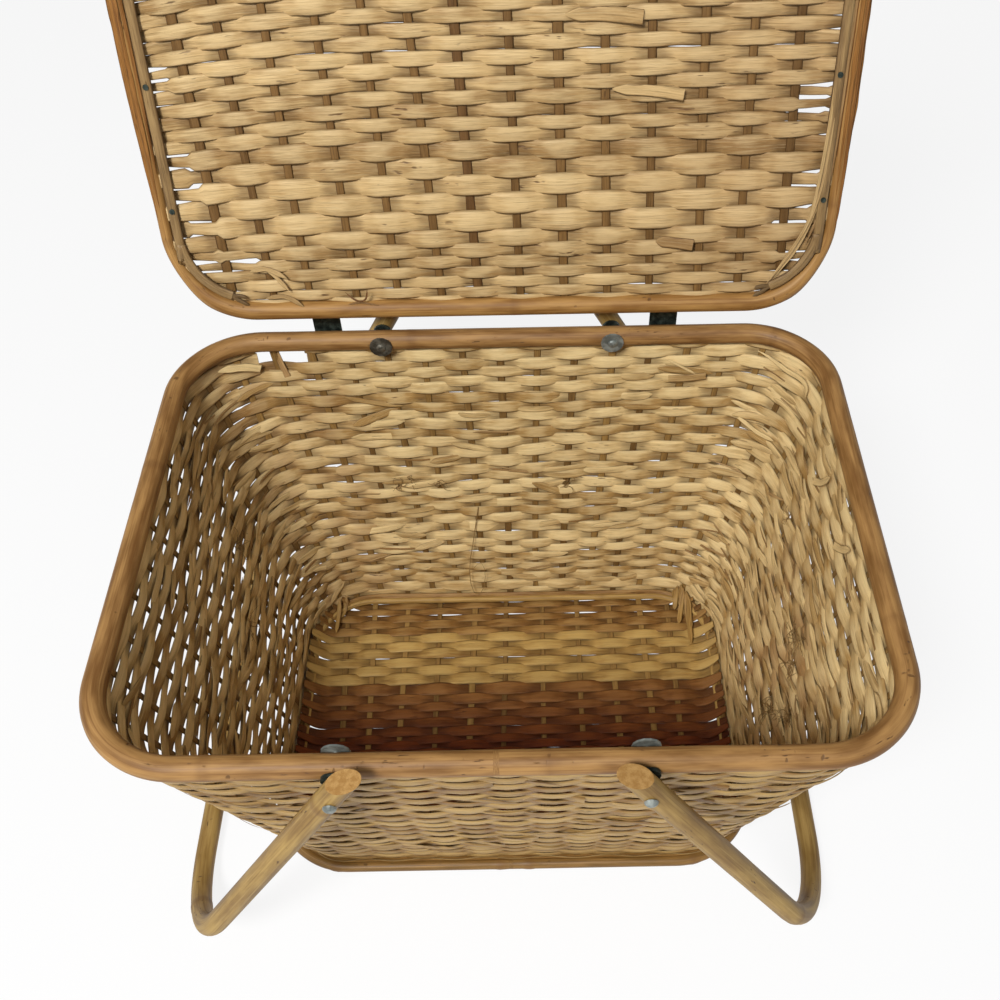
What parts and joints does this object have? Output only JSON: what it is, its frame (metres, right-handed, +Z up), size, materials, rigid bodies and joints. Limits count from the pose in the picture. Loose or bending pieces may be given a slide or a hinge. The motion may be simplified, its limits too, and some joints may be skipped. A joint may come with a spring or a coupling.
{
  "type": "picnic basket",
  "caption": "Rectangular cane picnic basket with tapered woven walls, a hinged woven lid and two swinging bent-pole handles, standing open.",
  "frame": {"origin": "centre of the woven base's underside, on the table", "axes": "+Z up, +X along the basket's length to the viewer's right, -Y to the front where the lid opens"},
  "size_m": [0.4296, 0.4259, 0.5624],
  "materials": {
    "split_cane": "woven dry split cane, straw coloured",
    "brown_rod": "brown stained round cane",
    "rim_cane": "smooth glossy reddish tan cane pole",
    "lid_cane": "smooth orange tan cane pole",
    "batten_cane": "rough split cane",
    "handle_cane": "satin cane pole with dark flecks",
    "zinc": "dull zinc plate",
    "dark_steel": "dark oxidised steel"
  },
  "bodies": {
    "basket": {"base_weave": "split_cane", "foot_hoop": "brown_rod", "hinge_left_pin": "dark_steel", "hinge_left_rim_leaf": "dark_steel", "hinge_left_rim_nail_1": "dark_steel", "hinge_left_rim_nail_2": "dark_steel", "hinge_right_pin": "dark_steel", "hinge_right_rim_leaf": "dark_steel", "hinge_right_rim_nail_1": "dark_steel", "hinge_right_rim_nail_2": "dark_steel", "inner_base_hoop": "brown_rod", "pivot_rivet_left_front": "zinc", "pivot_rivet_left_rear": "zinc", "pivot_rivet_right_front": "zinc", "pivot_rivet_right_rear": "zinc", "pivot_spacer_left_front": "dark_steel", "pivot_spacer_left_rear": "dark_steel", "pivot_spacer_right_front": "dark_steel", "pivot_spacer_right_rear": "dark_steel", "pivot_washer_left_front": "zinc", "pivot_washer_left_rear": "zinc", "pivot_washer_right_front": "zinc", "pivot_washer_right_rear": "zinc", "rim_hoop": "rim_cane", "wall_weave": "split_cane"},
    "lid": {"batten_nail_left_1": "dark_steel", "batten_nail_left_2": "dark_steel", "batten_nail_left_3": "dark_steel", "batten_nail_left_4": "dark_steel", "batten_nail_right_1": "dark_steel", "batten_nail_right_2": "dark_steel", "batten_nail_right_3": "dark_steel", "batten_nail_right_4": "dark_steel", "hinge_left_lid_leaf": "dark_steel", "hinge_left_lid_nail_1": "dark_steel", "hinge_left_lid_nail_2": "dark_steel", "hinge_right_lid_leaf": "dark_steel", "hinge_right_lid_nail_1": "dark_steel", "hinge_right_lid_nail_2": "dark_steel", "lid_batten_left": "batten_cane", "lid_batten_right": "batten_cane", "lid_hoop": "lid_cane", "lid_weave": "split_cane"},
    "left_handle": {"handle_left": "handle_cane"},
    "right_handle": {"handle_right": "handle_cane"}
  },
  "joints": [
    {"name": "lid_hinge", "type": "hinge", "parent": "basket", "child": "lid", "pos_m": [0, 0.16023, 0.2515], "axis": [1, 0, 0], "range_deg": [0, 106]},
    {"name": "left_handle_swing", "type": "hinge", "parent": "basket", "child": "left_handle", "pos_m": [-0.0805, 0, 0.232], "axis": [0, 1, 0], "range_deg": [0, 71]},
    {"name": "right_handle_swing", "type": "hinge", "parent": "basket", "child": "right_handle", "pos_m": [0.072, 0, 0.232], "axis": [0, -1, 0], "range_deg": [0, 71]}
  ]
}
